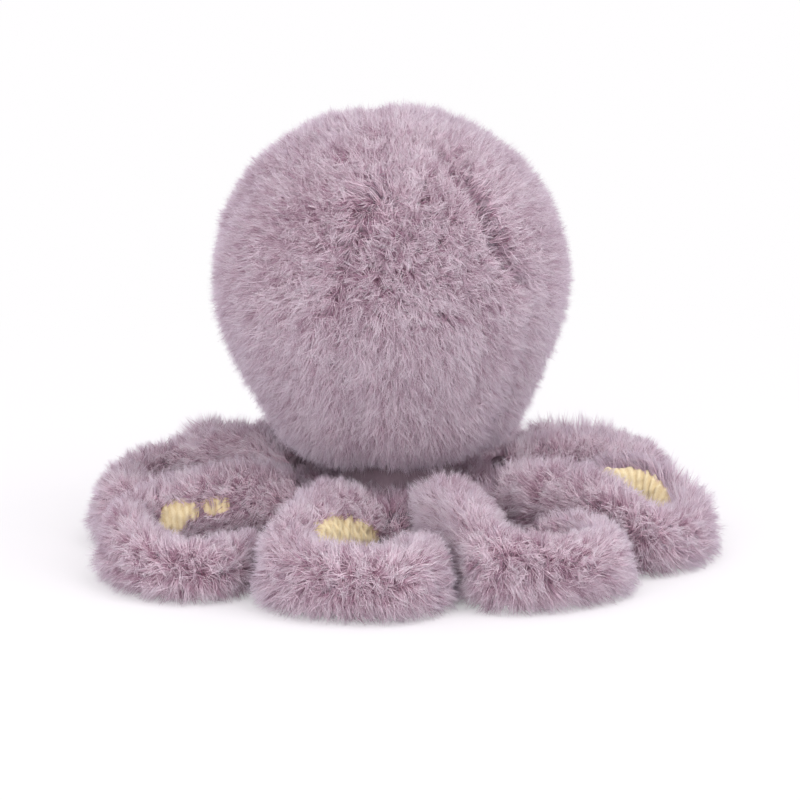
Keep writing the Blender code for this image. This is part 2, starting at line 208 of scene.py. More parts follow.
class Sway:
    """A smooth field of wandering directions through space, from a few long waves."""

    def __init__(self, seed, wavelength, waves=7):
        rng = np.random.default_rng(seed)
        self.ways = unit(rng.normal(size=(waves, 3))) * TURN / wavelength
        self.ways = self.ways * rng.uniform(0.6, 1.5, (waves, 1))
        self.starts = rng.uniform(0, TURN, (waves, 3))

    def at(self, places):
        """The field's vectors at some places."""
        angles = places @ self.ways.T
        return np.sin(angles[..., None] + self.starts).sum(-2) / math.sqrt(len(self.ways) / 2)


broad_sway = Sway(11, 26 * MM)
close_sway = Sway(12, 8 * MM)
shade_sway = Sway(13, 17 * MM)
lump_sway = Sway(14, 2.8 * MM)


class Patch:
    """Grids over a surface: places, and the pile's facing, lay, length, density and tone."""

    def __init__(self, *grids):
        self.grids = grids

    def rows(self, first, end):
        """The part of the patch from one row of its grids to before another."""
        return Patch(*(grid[first:end] for grid in self.grids))

    def scatter(self, rng):
        """Evenly spread tuft positions, as rows and columns of the grids."""
        p, density = self.grids[0], self.grids[4]
        across = np.cross(p[1:, :-1] - p[:-1, :-1], p[:-1, 1:] - p[:-1, :-1])
        area = np.linalg.norm(across, axis=-1)
        wanted = area * density[:-1, :-1] * TUFT_DENSITY
        total = np.cumsum(wanted.ravel())
        count = int(total[-1])
        cells = np.searchsorted(total, (np.arange(count) + rng.random(count)) / count * total[-1])
        cells = np.minimum(cells, total.size - 1)
        rows, columns = np.divmod(cells, wanted.shape[1])
        return rows + rng.random(count), columns + rng.random(count)


def read_grid(grid, rows, columns):
    """A grid's values between its points."""
    i, j = rows.astype(int), columns.astype(int)
    a, b = rows - i, columns - j
    if grid.ndim == 3:
        a, b = a[:, None], b[:, None]
    near = grid[i, j] * (1 - a) * (1 - b) + grid[i + 1, j] * a * (1 - b)
    return near + grid[i, j + 1] * (1 - a) * b + grid[i + 1, j + 1] * a * b


def strands_on(
    patch, seed, gather=(0.25, 0.85), ruffle=0.4, sway=1, spread=TUFT_SPREAD, per_tuft=STRANDS_PER_TUFT
):
    """Roots, middles, tips and shades of the pile's strands on a patch, one row for each tuft."""
    rng = np.random.default_rng(seed)
    rows, columns = patch.scatter(rng)
    place, facing, lay, length, _, tone = (read_grid(grid, rows, columns) for grid in patch.grids)
    facing = unit(facing)
    length = length * rng.uniform(*TUFT_LENGTHS, len(place))
    wander = sway * (BROAD_WANDER * broad_sway.at(place) + CLOSE_WANDER * close_sway.at(place))
    wander += ruffle * rng.normal(size=place.shape)
    way = unit(facing + lay + wander)
    tone = tone + SHADE_SWAY * shade_sway.at(place)[:, 0]
    tone += TUFT_SHADE_SPREAD * rng.normal(size=len(place))
    # painted shade for the gaps between tufts: a share of the tufts is darker by a step
    tone -= PAINTED_SHADE_STEP * (rng.random(len(place)) < SHADOWED_TUFT_SHARE)

    many = (len(place), per_tuft)
    offset = rng.normal(size=many + (3,)) * spread
    offset -= (offset * facing[:, None]).sum(-1, keepdims=True) * facing[:, None]
    root = place[:, None] + offset
    own_way = unit(way[:, None] + STRAND_WANDER * rng.normal(size=root.shape) + FAN_OUT * offset / spread)
    own_length = (length[:, None] * rng.uniform(*STRAND_LENGTHS, many))[..., None]
    gathered = rng.uniform(*gather, len(place))[:, None, None]
    tip = root + own_way * own_length
    tip += gathered * ((place + way * length[:, None])[:, None] - tip)
    rise = unit((1 - OWN_WAY_SHARE) * facing[:, None] + OWN_WAY_SHARE * own_way)
    middle = root + rise * own_length * 0.5
    tuft_middle = place + unit(facing + way) * length[:, None] * 0.5
    middle += MIDDLE_GATHER * gathered * (tuft_middle[:, None] - middle)
    middle += BEND_SPREAD * rng.normal(size=root.shape)
    shade = tone[:, None] + STRAND_SHADE_SPREAD * rng.normal(size=many)
    # painted shade: a share of the strands is darker by the same step
    shade -= PAINTED_SHADE_STEP * (rng.random(many) < SHADOWED_STRAND_SHARE)
    return root, middle, tip, np.clip(shade, *SHADE_RANGE)


def mesh_from(points, groups, uvs=None, uv_name="OFBake"):
    """Mesh data from an array of points and groups of faces with as many corners each."""
    mesh = bpy.data.meshes.new("mesh")
    corners = np.concatenate([faces.ravel() for faces in groups])
    sizes = np.concatenate([np.full(len(faces), faces.shape[1]) for faces in groups])
    mesh.vertices.add(len(points))
    mesh.vertices.foreach_set("co", points.astype(np.float32).ravel())
    mesh.loops.add(len(corners))
    mesh.loops.foreach_set("vertex_index", corners.astype(np.int32))
    mesh.polygons.add(len(sizes))
    mesh.polygons.foreach_set("loop_start", (np.cumsum(sizes) - sizes).astype(np.int32))
    mesh.update(calc_edges=True)
    mesh.shade_smooth()
    if uvs is not None:
        layer = mesh.uv_layers.new(name=uv_name)
        layer.uv.foreach_set("vector", uvs.astype(np.float32).ravel())
    return mesh


def add_object(name, data):
    """Put a new object in the scene."""
    made = bpy.data.objects.new(name, data)
    bpy.context.scene.collection.objects.link(made)
    return made


def add_piece(name, mesh, finish):
    """Put a mesh in the scene as a piece of the toy with its finish."""
    mesh.name = name
    mesh.materials.append(finish)
    piece = add_object(name, mesh)
    return piece


def spike_rings(along):
    """Three directions round each strand, square to the way that it grows."""
    spare = np.where(np.abs(along[:, 2:]) < 0.8, UP, np.array((1.0, 0.0, 0.0)))
    side = unit(np.cross(along, spare))
    other = np.cross(along, side)
    return np.stack([side * math.cos(a) + other * math.sin(a) for a in even_turns(3)], 1)


# The corners of a strand's faces, and their places on its map: across it, then the way up it
BENT_WALLS = ((0, 1, 4, 3), (1, 2, 5, 4), (2, 0, 3, 5))
BENT_ENDS = ((3, 4, 6), (4, 5, 6), (5, 3, 6), (2, 1, 0))
STRAIGHT_FACES = ((0, 1, 3), (1, 2, 3), (2, 0, 3), (2, 1, 0))
WALL_MAP = ((0, 0), (1, 0), (1, 0.5), (0, 0.5)) * 3
UPPER_MAP = ((0, 0.5), (1, 0.5), (0.5, 1)) * 3 + ((0, 0), (1, 0), (0.5, 0.02))
SIDE_MAP = ((0, 0), (1, 0), (0.5, 1)) * 3 + ((0, 0), (1, 0), (0.5, 0.02))


def spikes(root, tip, *bends):
    """Each strand's points, from the ring at its root to its tip, and the ways that they face.

    They face nearly half the way that the strand grows, so that the pile shades softly.
    """
    along = unit(tip - root)
    ring = spike_rings(along)
    rings = [root[:, None] + STRAND_RADIUS * ring]
    rings += [bend[:, None] + STRAND_RADIUS * STRAND_MIDDLE_SHARE * ring for bend in bends]
    leaning = unit(NORMAL_ALONG * along[:, None] + (1 - NORMAL_ALONG) * ring)
    facing = np.concatenate([leaning] * len(rings) + [along[:, None]], 1)
    return np.concatenate(rings + [tip[:, None]], 1), facing.reshape(-1, 3)


def fur_mesh(root, middle, tip, shade):
    """Closed spikes along the strands; the map holds each one's shade and the way up it."""
    bent, bent_facing = spikes(*(grid[:, :BENT_PER_TUFT].reshape(-1, 3) for grid in (root, tip, middle)))
    straight, straight_facing = spikes(*(grid[:, BENT_PER_TUFT:].reshape(-1, 3) for grid in (root, tip)))
    bent_first = np.arange(len(bent))[:, None, None] * bent.shape[1]
    straight_first = bent[..., 0].size + np.arange(len(straight))[:, None, None] * straight.shape[1]
    walls = (bent_first + np.array(BENT_WALLS)).reshape(-1, 4)
    ends = (bent_first + np.array(BENT_ENDS)).reshape(-1, 3)
    sides = (straight_first + np.array(STRAIGHT_FACES)).reshape(-1, 3)

    def placed(shades, corners):
        """Map points: the strands' shade across, and the way up them."""
        corners = np.array(corners, float)
        across = shades.reshape(-1, 1) + SHADE_WIDTH * corners[:, 0]
        return stacked(across, corners[:, 1]).reshape(-1, 2)

    bent_shade, plain_shade = shade[:, :BENT_PER_TUFT], shade[:, BENT_PER_TUFT:]
    uvs = [placed(bent_shade, WALL_MAP), placed(bent_shade, UPPER_MAP), placed(plain_shade, SIDE_MAP)]
    points = np.concatenate([bent.reshape(-1, 3), straight.reshape(-1, 3)])
    mesh = mesh_from(points, [walls, np.concatenate([ends, sides])], np.concatenate(uvs))
    facing = mesh.attributes.new("custom_normal", "FLOAT_VECTOR", "POINT")
    ways = np.concatenate([bent_facing, straight_facing])
    facing.data.foreach_set("vector", ways.astype(np.float32).ravel())
    return mesh


def ring_faces(rings, around):
    """Quads between neighbouring rings of points, each ring closed on itself."""
    i = np.arange(rings - 1)[:, None] * around
    j = np.arange(around)[None]
    k = (j + 1) % around
    return stacked(i + j, i + k, i + around + k, i + around + j).reshape(-1, 4)


def tube_mesh(rings):
    """A closed skin over rings of points, with a point at the middle of each end."""
    count, around = rings.shape[:2]
    points = np.concatenate([rings.reshape(-1, 3), rings[0].mean(0)[None], rings[-1].mean(0)[None]])
    j = np.arange(around)
    k = (j + 1) % around
    last = (count - 1) * around
    low = stacked(k, j, count * around)
    high = stacked(last + j, last + k, count * around + 1)
    return mesh_from(points, [ring_faces(count, around), np.concatenate([low, high])])


def slab_mesh(face, back, weave):
    """A closed slab between two like grids of points; the map on it is the weave's own."""
    rows, columns = face.shape[:2]
    size = rows * columns
    index = np.arange(size).reshape(rows, columns)
    front = stacked(index[:-1, :-1], index[:-1, 1:], index[1:, 1:], index[1:, :-1]).reshape(-1, 4)
    rear = front[:, ::-1] + size
    edge = np.concatenate([index[0], index[1:, -1], index[-1, -2::-1], index[-2:0:-1, 0]])
    after = np.roll(edge, -1)
    rim = stacked(after, edge, edge + size, after + size)
    quads = np.concatenate([front, rear, rim])
    points = np.concatenate([face.reshape(-1, 3), back.reshape(-1, 3)])
    map_points = np.concatenate([weave.reshape(-1, 2)] * 2)
    return mesh_from(points, [quads], map_points[quads.ravel()], "weave")


# Materials


class Value:
    """A value in a material. A sum or product of values adds the nodes that work it out."""

    def __init__(self, nodes, socket):
        self.nodes, self.socket = nodes, socket

    def maths(self, operation, *values):
        """A Math node over some values."""
        return self.nodes.node("ShaderNodeMath", {"operation": operation}, dict(enumerate(values)))

    def sibling(self, output):
        """Another output of the node that this value comes from."""
        return Value(self.nodes, self.socket.node.outputs[output])

    def __add__(self, other):
        return self.maths("ADD", self, other)

    def __sub__(self, other):
        return self.maths("SUBTRACT", self, other)

    def __rsub__(self, other):
        return self.maths("SUBTRACT", other, self)

    def __mul__(self, other):
        return self.maths("MULTIPLY", self, other)

    def __pow__(self, other):
        return self.maths("POWER", self, other)

    __radd__ = __add__
    __rmul__ = __mul__


class Nodes:
    """The nodes of a material or of the world."""

    def __init__(self, tree):
        self.tree = tree

    def node(self, kind, settings, sockets, output=0):
        """Add a node: its settings come first, then what its sockets hold or are fed by."""
        made = self.tree.nodes.new(kind)
        for setting, value in settings.items():
            setattr(made, setting, value)
        for socket, value in sockets.items():
            self.feed(made.inputs[socket], value)
        return Value(self, made.outputs[output])

    def feed(self, socket, value):
        """Link a value to a socket, or set a number or colour on it."""
        if isinstance(value, Value):
            self.tree.links.new(value.socket, socket)
        else:
            socket.default_value = value


class Finish(Nodes):
    """A material and the nodes that make its colours."""

    def __init__(self, name, **constants):
        self.material = bpy.data.materials.new(name)
        self.material.use_nodes = True
        super().__init__(self.material.node_tree)
        self.shader = self.tree.nodes["Principled BSDF"]
        for socket, value in constants.items():
            self.paint(socket.replace("_", " ").title(), value)

    def mixed(self, share, first, second):
        """A colour between two colours."""
        settings = {"data_type": "RGBA", "clamp_factor": True}
        return self.node("ShaderNodeMix", settings, {"Factor": share, 6: first, 7: second}, 2)

    def map_parts(self, name):
        """The two coordinates of one of the mesh's maps."""
        place = self.node("ShaderNodeUVMap", {"uv_map": name}, {})
        split = self.node("ShaderNodeSeparateXYZ", {}, {0: place})
        return split, split.sibling(1)

    def noise(self, scale, detail=2.0):
        """Soft blotches fixed to the object, about 1/scale metres wide."""
        place = self.node("ShaderNodeTexCoord", {}, {}, "Object")
        sockets = {"Vector": place, "Scale": scale, "Detail": detail}
        return self.node("ShaderNodeTexNoise", {}, sockets, "Fac")

    def paint(self, socket, value):
        """Feed one of the shader's sockets."""
        self.feed(self.shader.inputs[socket], value)


def srgb(*screen):
    """A colour given as it shows on a screen, from 0 to 255."""
    shares = [c / 255 for c in screen]
    return (*(c / 12.92 if c <= 0.04045 else ((c + 0.055) / 1.055) ** 2.4 for c in shares), 1.0)


def fur_finish():
    """Pile: dark rosy mauve at the root, mauve half way up and pale lavender at the tip; the darker root
    and middle are partly the pile's own colour and partly painted shade for the depth of the pile.
    """
    tint = srgb(250, 232, 250)
    finish = Finish("lilac_fur", roughness=0.9, sheen_weight=0.9, sheen_roughness=0.5, sheen_tint=tint)
    finish.paint("Specular IOR Level", 0.2)
    shade, rise = finish.map_parts("OFBake")
    root = finish.mixed(shade, srgb(138, 90, 110), srgb(224, 176, 196))
    middle = finish.mixed(shade, srgb(172, 122, 144), srgb(255, 229, 242))
    tip = finish.mixed(shade, srgb(176, 138, 160), srgb(255, 248, 255))
    finish.paint("Base Color", finish.mixed(rise * rise, finish.mixed(rise ** 0.7, root, middle), tip))
    return finish.material


def blotched(name, scale, dark, pale, **constants):
    """A plain material in soft blotches between two colours."""
    finish = Finish(name, **constants)
    finish.paint("Base Color", finish.mixed(finish.noise(scale), srgb(*dark), srgb(*pale)))
    return finish.material


def cord_finish():
    """Ribbed cord: paler on the crests of its ribs and deeper yellow in between, painted highlight and
    painted shade.
    """
    finish = Finish("yellow_cord", roughness=0.9, sheen_weight=0.3, sheen_roughness=0.5)
    turned = finish.map_parts("weave")[0] * TURN
    # painted highlight on the ribs' crests and painted shade between them
    crest = turned.maths("COSINE", turned) * 0.5 + 0.5
    fluff = finish.noise(2600.0, 3.0)
    share = crest * 0.5 + (fluff - 0.5) * 1.4 + 0.25
    finish.paint("Base Color", finish.mixed(share, srgb(216, 192, 146), srgb(244, 228, 190)))
    sockets = {"Strength": 0.5, "Distance": 0.12 * MM, "Height": fluff}
    finish.paint("Normal", finish.node("ShaderNodeBump", {}, sockets))
    return finish.material


# Head


def head_profile(inset, steps=72):
    """The head's outline and the way it faces, from the crown down, as distances and heights."""
    x, z = HEAD_OUTLINE_SHARES[1]
    shares = [(-x, z), *HEAD_OUTLINE_SHARES, *NECK_OUTLINE_SHARES]
    rows = smooth_rows(shares, np.linspace(1, len(shares) - 1, steps))
    points = rows * (HEAD_RADIUS, HEAD_HEIGHT) + (0, HEAD_UNDERSIDE - NECK_PIVOT)
    along = np.gradient(points, axis=0)
    facing = unit(stacked(-along[:, 1], along[:, 0]))
    facing[0] = (0, 1)
    return points - inset * facing, facing


def lean_head(points):
    """Tip places from the upright head's own frame into the toy's."""
    c, s = math.cos(HEAD_LEAN), math.sin(HEAD_LEAN)
    x, y, z = points[..., 0], points[..., 1], points[..., 2]
    return stacked(c * x + s * z, y, c * z - s * x + NECK_PIVOT)


SEAM_DEPTH = 3.8 * MM
SEAM_WIDTH = 4 * MM
# The angle round the head of the one clear crease, and the others' share of its depth
CLEAR_SEAM = math.radians(162)
FAINT_SHARE = 0.5
# How far round it wanders from its seam lower down, and where it is lost in the pile
CREASE_DRIFT = math.radians(15)
CREASE_FOOT = 48 * MM
CREASE_FADE = 18 * MM
# A crease has its full depth this far out from where the creases meet
CREASE_START = 28 * MM
# The creases meet this far from the crown, on the photographed side, and run true lower down
MEETING_ASIDE = 14 * MM
MEETING_ANGLE = math.radians(125)
MEETING_FROM, MEETING_TO = 45 * MM, 92 * MM
# The fur parts round a pucker beside the back seam
PUCKER_ANGLE = math.radians(102.6)
PUCKER_REACH = 41 * MM
PUCKER_HEIGHT = 82 * MM
PUCKER_DEPTH = 3 * MM
PUCKER_WIDTH = 4 * MM
PUCKER_LEAN = 0.7
# A patch of darker pile, as the way that the head faces there
DARKER_PATCH_WAY = (0.62, 0.5, 0.6)
DARKER_PATCH_WIDTH, DARKER_PATCH_STEP = 0.16, 0.2


def seam_distance(places):
    """Distances to the nearest crease and to where the creases meet, and the crease's strength."""
    gone = smooth_step((places[..., 2] - MEETING_FROM) / (MEETING_TO - MEETING_FROM))
    aside = MEETING_ASIDE * heading(MEETING_ANGLE)
    x, y = places[..., 0] - aside[0] * gone, places[..., 1] - aside[1] * gone
    panel = TURN / PANEL_COUNT
    angle = np.arctan2(y, x)
    out = np.hypot(x, y)
    clear = smooth_step((np.cos(angle - CLEAR_SEAM) - 0.7) / 0.2)
    clear = clear * smooth_step((places[..., 2] - CREASE_FOOT) / CREASE_FADE)
    angle = angle + CREASE_DRIFT * clear * (1 - gone)
    near = (angle - TURN / 4 + panel / 2) % panel - panel / 2
    return near * out, out, FAINT_SHARE + (1 - FAINT_SHARE) * clear


def head_grid(inset, angles):
    """Places on the head at some depth, drawn in along the seams, and the way they face."""
    places, ways = (level_ring(angles, rows[:, :1], rows[:, 1:]) for rows in head_profile(inset))
    aside, out, strength = seam_distance(places)
    drawn_in = SEAM_DEPTH * strength * hump(aside, SEAM_WIDTH) * smooth_step(out / CREASE_START)
    reach = np.linalg.norm(places - pucker_place(inset), axis=-1)
    drawn_in = drawn_in + PUCKER_DEPTH * hump(reach, PUCKER_WIDTH)
    return places - drawn_in[..., None] * ways, ways


def pucker_place(inset):
    """The pucker's place in the head's frame, at some depth."""
    deeper = PUCKER_LEAN * inset
    return (PUCKER_REACH - deeper) * heading(PUCKER_ANGLE) + (PUCKER_HEIGHT - deeper) * UP


def eye_places():
    """Each eye's name, its spot on the head's outline and the way it looks, in the head's frame."""
    profile, facing = head_profile(0)
    level = HEAD_UNDERSIDE + EYE_HEIGHT_SHARE * HEAD_HEIGHT - NECK_PIVOT
    row = int(np.argmin(np.abs(profile[:, 1] - level) + (profile[:, 0] < 0.5 * HEAD_RADIUS)))
    found = []
    for name, sign in (("eye_right", -1), ("eye_left", 1)):
        way = heading(-TURN / 4 + sign * EYE_SPREAD)
        spot = way * profile[row, 0] + UP * profile[row, 1]
        found.append((name, spot, way * facing[row, 0] + UP * facing[row, 1]))
    return found


# The head's pile hangs, more so low down, where it is also longer, and paler as painted light against the
# shade under the head's widest part
HANG, LOW_HANG = 0.25, 0.12
LOW_LONGER, LOW_PAINTED_LIGHT = 0.16, 0.12
# It parts to both sides of a crease, which is shorter and thinner, and darker with painted shade
PARTING = 1.2
PARTING_START, PARTING_WIDTH = 1.6 * MM, 3.4 * MM
CREASE_WIDTH = 1.9 * MM
CREASE_SHORTER, CREASE_THINNER, CREASE_PAINTED_SHADE = 0.35, 0.6, 0.75
# It turns away from the eyes, and lies in a whorl round the pucker, where it is shorter, and darker with
# painted shade
EYE_CLEARING = 8 * MM
EYE_SHORTER, EYE_PARTING = 0.45, 0.7
WHORL_WIDTH = 8 * MM
WHORL_OUT, WHORL_ROUND = 1.1, 0.9
PUCKER_SHORTER, PUCKER_PAINTED_SHADE = 0.35, 0.35


def head_patch(first, last):
    """The pile on one head panel, between two angles round the head."""
    angles = np.linspace(first, last, 40)
    places, ways = head_grid(HEAD_PILE, angles)
    slope = np.cross(np.gradient(places, axis=1), np.gradient(places, axis=0))
    slope = unit(slope) * np.sign((slope * ways).sum(-1, keepdims=True))
    facing = unit(ways + 1.2 * slope)
    up = ways[..., 2]
    low = smooth_step((0.35 - up) / 0.9)
    lay = -(HANG + LOW_HANG * low)[..., None] * UP
    from_seam, from_meeting, strength = seam_distance(places)
    round_way = stacked(-np.sin(angles), np.cos(angles), 0)
    parted = from_seam / PARTING_START * hump(from_seam, PARTING_WIDTH)
    parted = parted * smooth_step((up + 0.5) / 0.5) * smooth_step(from_meeting / CREASE_START)
    lay = lay + PARTING * (strength * parted)[..., None] * round_way
    length = HEAD_STRAND * (1 + LOW_LONGER * low)
    out = np.hypot(places[..., 0], places[..., 1])
    under = smooth_step((-up - 0.75) / 0.2)
    density = HEAD_TUFTS * (1 - 0.3 * under) * ((out > NECK_RADIUS) | (up > 0))
    for _, spot, way in eye_places():
        centre = spot - way * HEAD_PILE
        away = places - centre
        reach = np.linalg.norm(away, axis=-1)
        near = 1 - smooth_step((reach - EYE_RADIUS) / EYE_CLEARING)
        length = length * (1 - EYE_SHORTER * near)
        lay = lay + EYE_PARTING * near[..., None] * unit(away)
        density = density * (reach > EYE_RADIUS + 0.4 * MM)
    away = places - pucker_place(HEAD_PILE)
    reach = np.linalg.norm(away, axis=-1, keepdims=True)
    swirl = np.cross(facing, unit(away))
    lay = lay + hump(reach, WHORL_WIDTH) * (WHORL_OUT * unit(away) + WHORL_ROUND * swirl)
    near = hump(reach[..., 0], PUCKER_WIDTH)
    creased = hump(from_seam, CREASE_WIDTH) * smooth_step(from_meeting / (16 * MM))
    creased = creased * smooth_step((up + 0.3) / 0.5) * (1.5 * strength - 0.5)
    length = length * (1 - PUCKER_SHORTER * near) * (1 - CREASE_SHORTER * creased)
    density = density * (1 - CREASE_THINNER * creased)
    # painted light and shade: paler low down, darker in the creases and at the pucker
    tone = PILE_TONE + LOW_PAINTED_LIGHT * low - CREASE_PAINTED_SHADE * creased - PUCKER_PAINTED_SHADE * near
    darker_patch = hump(1 - ways @ unit(np.array(DARKER_PATCH_WAY)), DARKER_PATCH_WIDTH)
    return Patch(places, facing, lay, length, density, tone - DARKER_PATCH_STEP * darker_patch)


# The row of a panel's grid where its upper piece ends and its lower one starts
HALF_ROW = 34


def make_head(fur, backing):
    """Five fur panels over a stuffed core."""
    angles = even_turns(120)
    rings = lean_head(head_grid(HEAD_PILE, angles)[0])
    core = add_piece("head_core", tube_mesh(rings[1:]), backing)
    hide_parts("head_stuffing")
    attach(core, "head")

    panel = TURN / PANEL_COUNT
    for index, side in enumerate(PANEL_SIDES):
        first = TURN / 4 + index * panel
        patch = head_patch(first, first + panel)
        for half, rows in (("upper", (0, HALF_ROW + 1)), ("lower", (HALF_ROW, None))):
            seed = 100 + index * 2 + (half == "lower")
            root, middle, tip, shade = strands_on(
                patch.rows(*rows), seed, (0.3, 0.85), 0.36, 0.5, HEAD_TUFT_SPREAD, HEAD_STRANDS_PER_TUFT
            )
            name = f"head_{side}_{half}_pile"
            mesh = fur_mesh(lean_head(root), lean_head(middle), lean_head(tip), shade)
            piece = add_piece(name, mesh, fur)
            if half == "upper":
                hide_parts(f"head_panel_{side}")
            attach(piece, "head")


def make_neck(backing):
    """A sleeve of fur ground from the body up into the head."""
    heights = np.linspace(BODY_HEIGHT - 5 * MM, HEAD_UNDERSIDE + 9 * MM, 9)[:, None]
    flare = 1 + 0.5 * np.abs(heights - NECK_PIVOT) / (9 * MM)
    rings = level_ring(even_turns(40), NECK_RADIUS * flare, heights)
    neck = add_piece("neck_sleeve", tube_mesh(rings), backing)
    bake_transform(neck)


def make_eyes(finish):
    """Domed eyes on short stems, sunk in the pile."""
    steps = np.linspace(0, TURN / 4, 12)
    dome = [(EYE_RADIUS * math.sin(a), EYE_PROUD + EYE_HEIGHT * 0.75 * (math.cos(a) - 1)) for a in steps]
    foot = EYE_PROUD - EYE_HEIGHT
    profile = dome + [
        (EYE_RADIUS, foot + 0.2 * MM),
        (EYE_RADIUS - 0.3 * MM, foot),
        (0.5 * EYE_RADIUS, foot),
        (0.5 * EYE_RADIUS, -HEAD_PILE - 0.5 * MM),
    ]
    for name, spot, way in eye_places():
        side = unit(np.cross(way, UP))
        other = np.cross(way, side)
        rings = np.array([
            [spot + way * z + side * r * math.cos(a) + other * r * math.sin(a) for a in even_turns(40)]
            for r, z in profile[1:]
        ])
        piece = add_piece(f"{name}_dome", tube_mesh(lean_head(rings)), finish)
        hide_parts(name)
        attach(piece, "head")


# Arms

ARM_GROUND = 4.6 * MM
# Arms with a flatter outgoing side: by this share, between two shares of the way along
PRESSED = {"arm_right": (0.2, 0.26, 0.72), "arm_back_left": (0.16, 0.42, 0.95)}
# Arms that have longer pile on top at some shares of the way along
LOFT = {
    "arm_right": ((0.1, 1.15), (0.25, 1.1), (0.35, 0.9), (0.52, 0.9), (0.62, 1.4)),
    "arm_front_right": ((0.5, 1.0), (0.62, 1.5)),
    "arm_front_left": ((0.5, 1.0), (0.62, 1.6)),
    "arm_back_right": ((0.06, 1.35), (0.16, 1.0), (0.42, 1.0), (0.52, 0.75), (0.7, 0.75), (0.8, 1.0)),
}
# The cord that each arm's pile leaves bare: shares of the way along, the angle round the section that it
# reaches up to there, and the angle that it reaches down to where that isn't the common one
CORD_FOOT = 205
FRONT_CORD_SHOWS = ((0.3, 205), (0.42, 155), (0.8, 150), (0.92, 205))
CORD_SHOWS = {
    "arm_back": (
        (-0.05, 196), (0.0, 178), (0.06, 160), (0.12, 148), (0.2, 130), (0.25, 127), (0.285, 150),
        (0.32, 196),
    ),
    "arm_back_right": ((0.4, 205), (0.5, 172), (0.8, 160), (0.9, 205)),
    "arm_right": (
        (0.43, 205), (0.46, 150), (0.5, 124), (0.56, 110), (0.66, 106), (0.71, 103),
        (0.76, 96), (0.82, 82), (0.88, 64), (0.95, 66), (0.98, 190),
    ),
    "arm_front_right": FRONT_CORD_SHOWS,
    "arm_front": FRONT_CORD_SHOWS,
    "arm_front_left": FRONT_CORD_SHOWS,
    "arm_left": ((0.45, 205), (0.55, 172), (0.75, 168), (0.85, 205)),
    "arm_back_left": (
        (0.13, 160, 160), (0.15, 146, 163), (0.19, 143, 164), (0.215, 149, 163), (0.235, 143, 170),
        (0.255, 134, 190), (0.3, 130, 200), (0.33, 158, 190), (0.35, 184, 184),
    ),
}


class Arm:
    """One curled arm: its sizes, and how its own level plane lies in the toy."""

    def __init__(self, index):
        self.name, self.height_share, self.reach_share, self.raised, self.shift = ARMS[index]
        self.bounds = (ARMS[index - 1][-1] - SECTOR / 2, self.shift + SECTOR / 2)
        self.turned = TURN / 4 + ARM_TURN + index * SECTOR
        self.seed = 500 + 10 * index

    def stations(self, travelled):
        """Places, outward ways, forward ways and half sizes at shares of the way along."""
        last = len(ARM_CURL_SHARES) - 1

        def flat_at(share):
            """Level places and the curl's sizes there."""
            rows = smooth_rows(ARM_CURL_SHARES, np.clip(share, 0, 1) * last)
            x, y = (rows[:, :2] * (ARM_REACH * self.reach_share, ARM_SWEEP)).T
            return stacked(x, y, 0), rows

        place, rows = flat_at(travelled)
        ahead, behind = (flat_at(travelled + step)[0] for step in (0.02, -0.02))
        along = unit(ahead - behind)
        along = unit(along + np.maximum(0, 1 - travelled / 0.05)[:, None] * np.array((1.0, 0, 0)))
        half_width = rows[:, 2] * ARM_WIDTH / 2
        half_height = rows[:, 3] * self.height_share * ARM_HEIGHT / 2
        if self.name in PRESSED:
            share, start, end = PRESSED[self.name]
            pressed = smooth_step((travelled - start) / 0.2) * smooth_step((end - travelled) / 0.12)
            half_height = half_height * (1 - share * pressed)
        lift = self.raised * (1 - np.cos(math.pi * np.clip(2 * travelled - 1, 0, 1))) / 2
        level = half_height - FLOOR_CUT + lift
        place = place + stacked(ROOT_REACH, 0, level)
        place[:, 0] += np.minimum(travelled, 0) * ARM_REACH
        outward = stacked(along[:, 1], -along[:, 0], 0)
        return place, outward, along, half_width, half_height

    def settle(self, points, side_margin, floor_soft, side_soft=2 * MM):
        """Press places between the neighbouring arms and onto the floor, in the toy's frame."""
        out, across, height = points[..., 0], points[..., 1], points[..., 2]
        high = out * math.tan(self.bounds[1]) - ARM_SIDE_GAP - side_margin
        low = out * math.tan(self.bounds[0]) + ARM_SIDE_GAP + side_margin
        across = ease_under(across, high, side_soft)
        across = -ease_under(-across, -low, side_soft)
        height = -ease_under(-height, 0, floor_soft)
        gone = np.clip((np.hypot(out, across) - ROOT_REACH) / ARM_DRIFT_REACH, 0, 1)
        turned = self.turned + ARM_DRIFT * smooth_step(gone)
        c, s = np.cos(turned), np.sin(turned)
        return stacked(out * c - across * s, out * s + across * c, height)

    def settle_ground(self, points):
        """Settle places on the ground of the pile, a little inside its neighbours' tips."""
        return self.settle(points, 3.2 * MM, 1.5 * MM)

    def joined(self, piece):
        """Bake the piece's place into its mesh."""
        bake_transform(piece)


def ease_under(values, limit, soft):
    """Values that slow down over a soft distance and never pass the limit."""
    over = np.maximum(values - (limit - soft), 0)
    return np.where(over > 0, limit - soft * np.exp(-over / soft), values)


def arm_section(arm, travelled, angles, inset):
    """Places round the arm's sections at some depth, and the way they face."""
    place, outward, along, half_width, half_height = arm.stations(travelled)
    depth = np.minimum(inset, ARM_PILE_SHARE * 2 * half_width)[:, None]
    c, s = np.cos(np.atleast_2d(angles)), np.sin(np.atleast_2d(angles))
    wide, tall = half_width[:, None], half_height[:, None]
    places = place[:, None] + outward[:, None] * ((wide - depth) * c)[..., None]
    places = places + UP * ((tall - depth) * s)[..., None]
    facing = unit(outward[:, None] * (c / wide)[..., None] + UP * (s / tall)[..., None])
    return places, facing, np.broadcast_to(along[:, None], places.shape)


